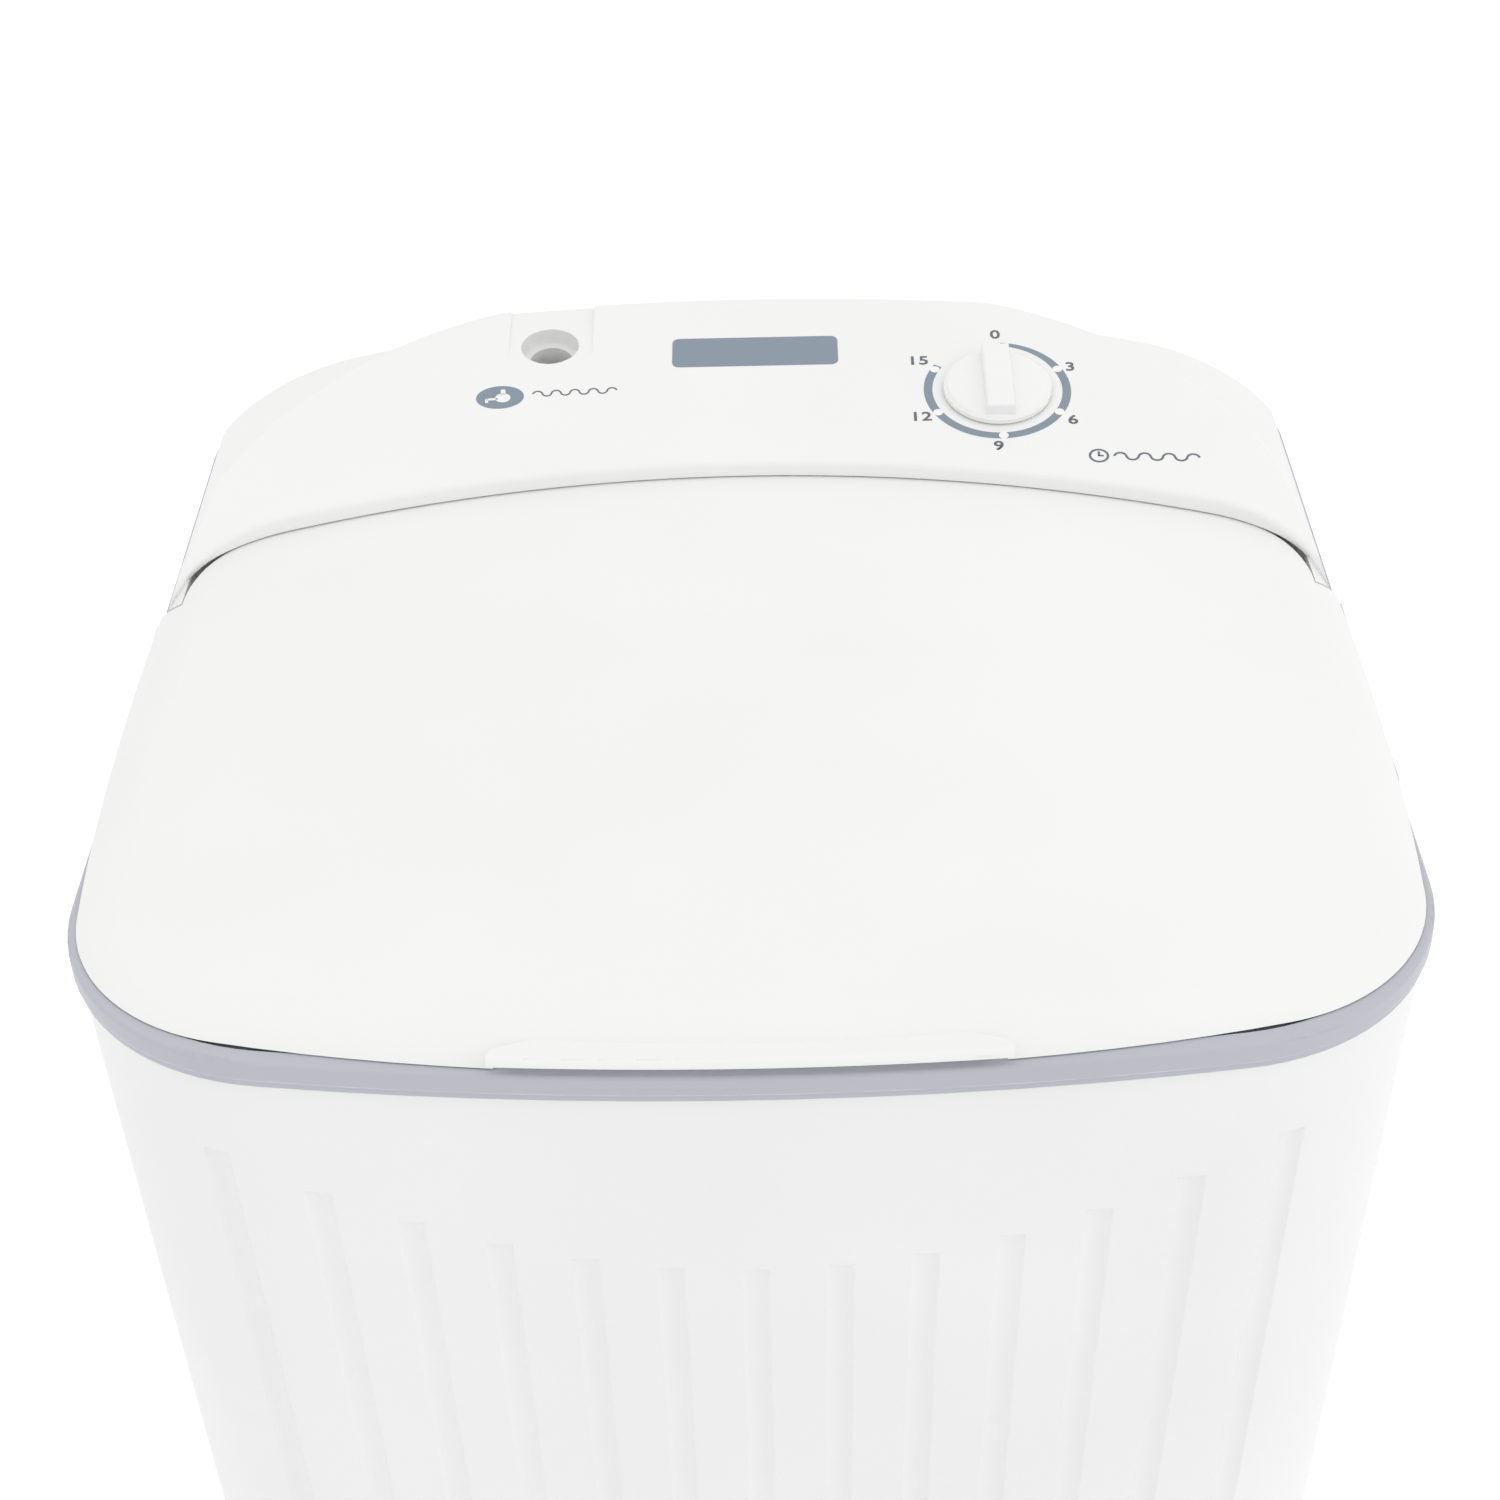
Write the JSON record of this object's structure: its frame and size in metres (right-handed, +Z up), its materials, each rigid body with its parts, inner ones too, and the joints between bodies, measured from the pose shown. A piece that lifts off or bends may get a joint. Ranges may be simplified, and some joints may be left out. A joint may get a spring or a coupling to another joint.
{
  "type": "top load washing machine",
  "caption": "Compact top load washing machine: domed hinged lid, sloped panel with timer knob and water inlet, fluted tapered cabinet, wash tub with pulsator and belt-driven motor.",
  "frame": {"origin": "on the floor under the middle of the machine", "axes": "+Z up, front of the machine towards -Y, +X to the right seen from the front"},
  "size_m": [0.4128, 0.4072, 0.6702],
  "materials": {
    "cabinet_white": "smooth satin moulded plastic",
    "lid_white": "smooth satin moulded plastic",
    "panel_white": "smooth satin moulded plastic",
    "knob_white": "smooth satin moulded plastic",
    "rim_grey": "pale blue-grey moulded plastic",
    "tub_white": "smooth moulded plastic",
    "pulsator_blue": "pale blue-grey moulded plastic",
    "base_grey": "matte moulded plastic",
    "foot_rubber": "matte rubber",
    "belt_rubber": "matte rubber",
    "steel": "zinc plated",
    "motor_paint": "dark painted sheet steel",
    "motor_core": "stacked sheet steel",
    "pulley_metal": "cast aluminium",
    "bush_bronze": "sintered bronze",
    "dark_plastic": "matte moulded plastic",
    "print_blue": "pale blue-grey print on the panel",
    "print_white": "white print on the panel"
  },
  "bodies": {
    "cabinet": {"base_pan": "base_grey", "base_screws": "steel", "bearing_housing": "pulley_metal", "cabinet_front": "cabinet_white", "cabinet_left": "cabinet_white", "cabinet_rear": "cabinet_white", "cabinet_right": "cabinet_white", "capacitor": "dark_plastic", "capacitor_clip": "steel", "control_panel": "panel_white", "cord_gland": "foot_rubber", "drain_cover": "base_grey", "drain_elbow": "base_grey", "drive_belt": "belt_rubber", "foot_front_left": "foot_rubber", "foot_front_right": "foot_rubber", "foot_rear_left": "foot_rubber", "foot_rear_right": "foot_rubber", "housing_nut": "steel", "lower_bush": "bush_bronze", "motor_bolts": "steel", "motor_case": "motor_paint", "motor_plate": "motor_paint", "motor_rubbers": "foot_rubber", "motor_stator": "motor_core", "panel_screws": "steel", "plate_screws": "steel", "rear_cover": "base_grey", "rear_cover_screws": "steel", "rim_frame": "rim_grey", "shaft_seal": "foot_rubber", "side_grip_left": "rim_grey", "side_grip_right": "rim_grey", "timer_case": "dark_plastic", "timer_screws": "steel", "upper_bush": "bush_bronze", "wash_tub": "tub_white", "water_chute": "tub_white", "wire_clips": "dark_plastic", "wire_harness": "dark_plastic"},
    "lid": {"lid": "lid_white", "lid_handle": "lid_white", "hinge_pin_left": "steel", "hinge_pin_right": "steel"},
    "timer_knob": {"timer_knob": "knob_white", "timer_shaft": "steel"},
    "pulsator": {"pulsator": "pulsator_blue", "pulsator_screw": "steel", "pulsator_shaft": "steel", "large_pulley": "pulley_metal", "pulley_nut": "steel"},
    "motor_rotor": {"motor_rotor": "motor_core", "motor_shaft": "steel", "motor_pulley": "pulley_metal"}
  },
  "joints": [
    {"name": "lid_hinge", "type": "hinge", "parent": "cabinet", "child": "lid", "pos_m": [0, 0.05, 0.6318], "axis": [-1, 0, 0], "range_deg": [0, 92]},
    {"name": "timer_turn", "type": "hinge", "parent": "cabinet", "child": "timer_knob", "pos_m": [0.0919, 0.141, 0.6583], "axis": [0, 0.2164, -0.9763], "range_deg": [0, 300]},
    {"name": "pulsator_spin", "type": "hinge", "parent": "cabinet", "child": "pulsator", "pos_m": [0, -0.037, 0.2], "axis": [0, 0, 1], "continuous": true},
    {"name": "motor_spin", "type": "hinge", "parent": "cabinet", "child": "motor_rotor", "pos_m": [0.095, 0.06, 0.1], "axis": [0, 0, 1], "continuous": true}
  ],
  "couplings": [
    {"joint": "motor_spin", "follows": "pulsator_spin", "ratio": 3.7083}
  ]
}
